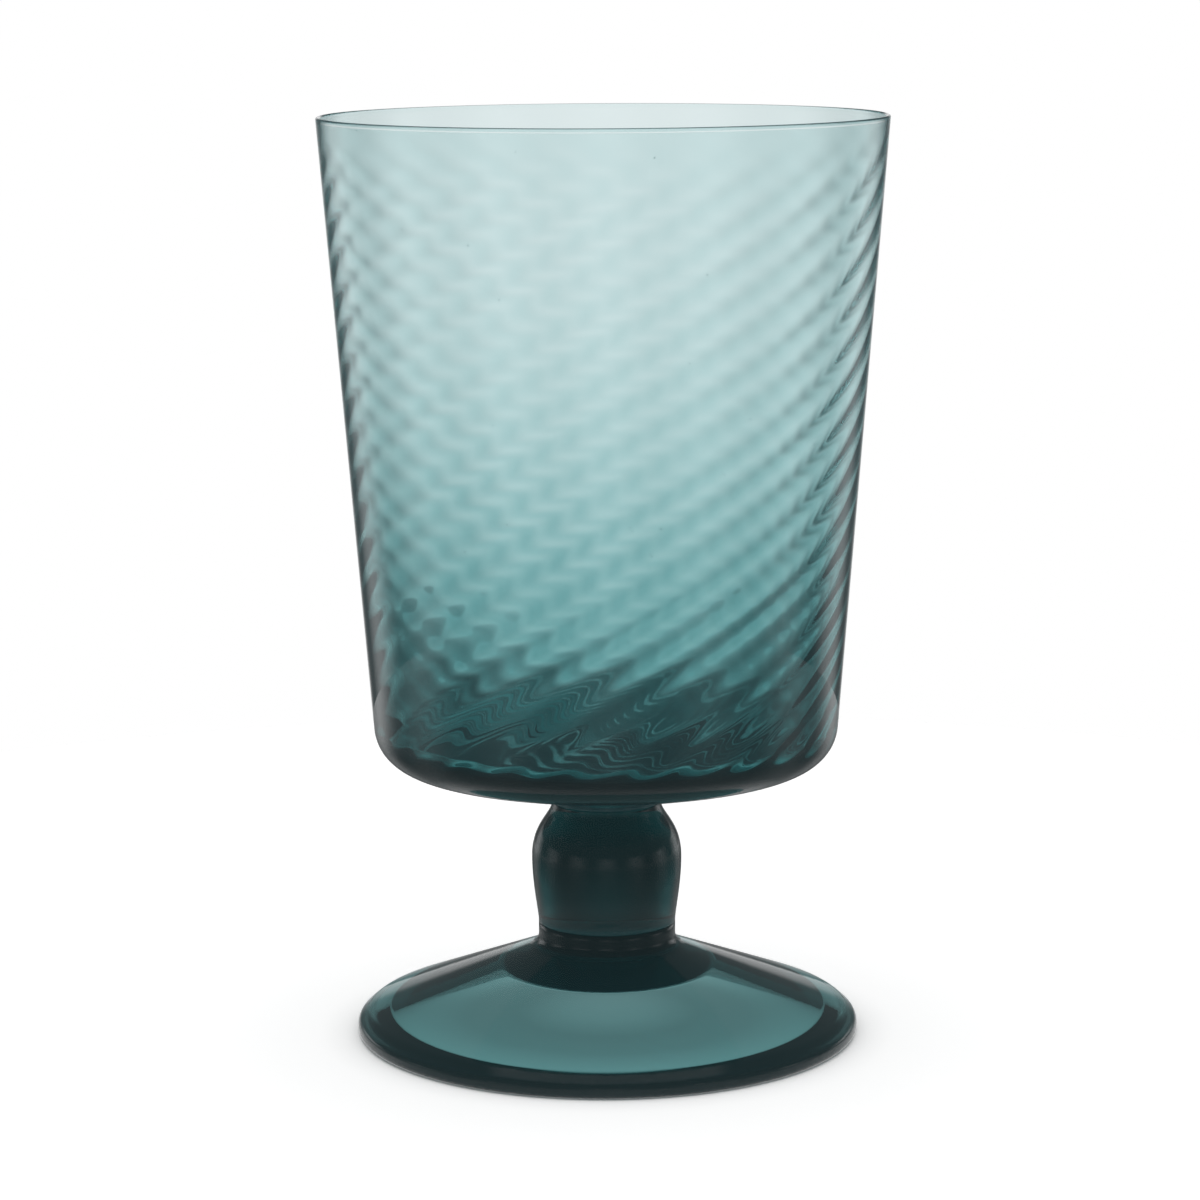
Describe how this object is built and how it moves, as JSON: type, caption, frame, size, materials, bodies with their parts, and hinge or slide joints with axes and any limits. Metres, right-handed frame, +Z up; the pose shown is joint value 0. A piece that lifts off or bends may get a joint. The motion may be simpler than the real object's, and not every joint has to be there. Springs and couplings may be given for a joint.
{
  "type": "water goblet",
  "caption": "Stemmed water goblet in tinted glass, with a tapered bowl, twisted optic ribs, a short solid stem and a sloping foot.",
  "frame": {"origin": "on the goblet's axis, in the plane of the ring that the foot stands on", "axes": "+Z up along the axis, from the foot to the rim; X and Y are level and equal, because the outside is round"},
  "size_m": [0.085, 0.085, 0.1395],
  "materials": {
    "bowl_glass": "clear blown glass tinted deep teal, fire-polished",
    "stem_glass": "clear solid glass tinted deep teal, fire-polished",
    "foot_glass": "clear spun glass tinted deep teal, fire-polished"
  },
  "bodies": {
    "root": {"bowl": "bowl_glass", "stem": "stem_glass", "foot": "foot_glass"}
  },
  "joints": []
}
